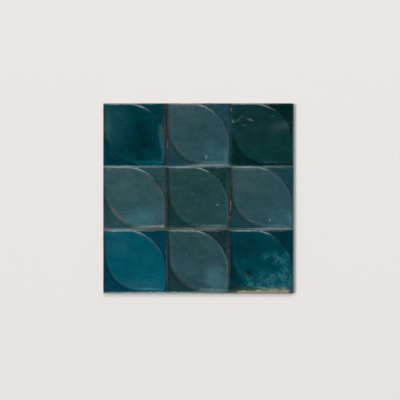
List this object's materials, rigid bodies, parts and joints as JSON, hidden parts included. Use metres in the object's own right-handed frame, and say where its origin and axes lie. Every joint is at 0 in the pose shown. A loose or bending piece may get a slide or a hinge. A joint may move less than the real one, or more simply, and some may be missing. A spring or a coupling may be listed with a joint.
{
  "type": "zellige effect tile",
  "caption": "Square glazed ceramic wall tile, scored into square fields with a raised leaf in each, in blue-green shades.",
  "frame": {"origin": "middle of the underside, in the plane of the back's ribs", "axes": "+Z out of the glazed face, +X and +Y along the sides, +Y towards the top of the picture"},
  "size_m": [0.3, 0.3, 0.0095],
  "materials": {
    "glaze": "glossy",
    "body": "matte"
  },
  "bodies": {
    "root": {"tile": "glaze"}
  },
  "joints": []
}
